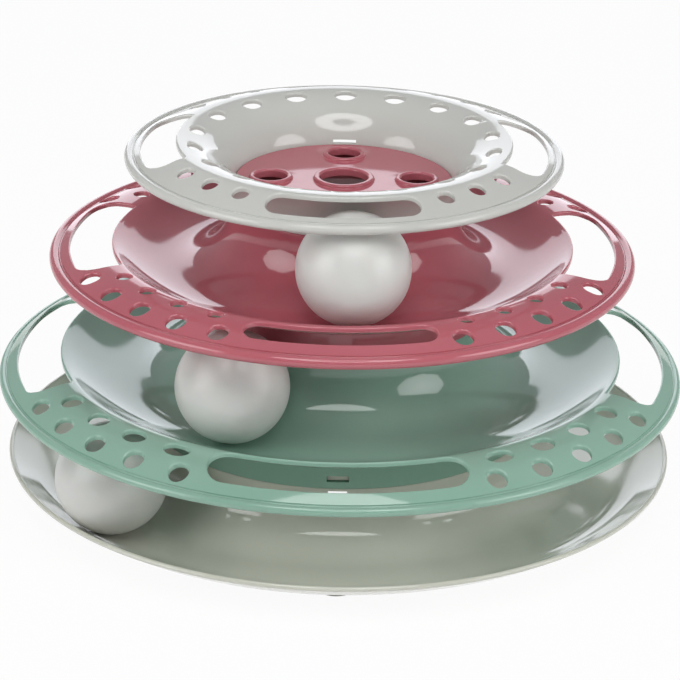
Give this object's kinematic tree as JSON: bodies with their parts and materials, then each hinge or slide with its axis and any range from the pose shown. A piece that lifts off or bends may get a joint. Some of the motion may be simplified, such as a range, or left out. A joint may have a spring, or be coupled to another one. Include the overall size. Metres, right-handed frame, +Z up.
{
  "type": "cat ball track toy",
  "caption": "Round tower of stacked plastic tracks for a cat, with a loose ball rolling in each level, pierced brims for paws and an open ring on top.",
  "frame": {"origin": "on the floor, under the middle of the tower", "axes": "+Z up along the tower's axis, -Y towards the viewer at the front clip windows, +X to the viewer's right"},
  "size_m": [0.25, 0.25, 0.1318],
  "materials": {
    "greige_plastic": "glossy moulded",
    "mint_plastic": "glossy moulded",
    "rose_plastic": "glossy moulded",
    "white_plastic": "glossy moulded",
    "ball_plastic": "satin moulded",
    "foot_rubber": "matte moulded"
  },
  "bodies": {
    "base": {"base_tray": "greige_plastic", "foot_1": "foot_rubber", "foot_2": "foot_rubber", "foot_3": "foot_rubber", "foot_4": "foot_rubber"},
    "mint_tray": {"mint_tray": "mint_plastic"},
    "rose_tray": {"rose_tray": "rose_plastic"},
    "top_ring": {"top_ring": "white_plastic"},
    "ball_lower": {"ball_lower": "ball_plastic"},
    "ball_middle": {"ball_middle": "ball_plastic"},
    "ball_upper": {"ball_upper": "ball_plastic"}
  },
  "joints": [
    {"name": "mint_lift", "type": "slide", "parent": "base", "child": "mint_tray", "axis": [0, 0, 1], "range_m": [0, 0.06]},
    {"name": "rose_lift", "type": "slide", "parent": "mint_tray", "child": "rose_tray", "axis": [0, 0, 1], "range_m": [0, 0.06]},
    {"name": "top_lift", "type": "slide", "parent": "rose_tray", "child": "top_ring", "axis": [0, 0, 1], "range_m": [0, 0.05]},
    {"name": "lower_roll", "type": "hinge", "parent": "base", "child": "ball_lower", "pos_m": [0, 0, 0], "axis": [0, 0, 1], "continuous": true},
    {"name": "middle_roll", "type": "hinge", "parent": "mint_tray", "child": "ball_middle", "pos_m": [0, 0, 0], "axis": [0, 0, 1], "continuous": true},
    {"name": "upper_roll", "type": "hinge", "parent": "rose_tray", "child": "ball_upper", "pos_m": [0, 0, 0], "axis": [0, 0, 1], "continuous": true}
  ]
}
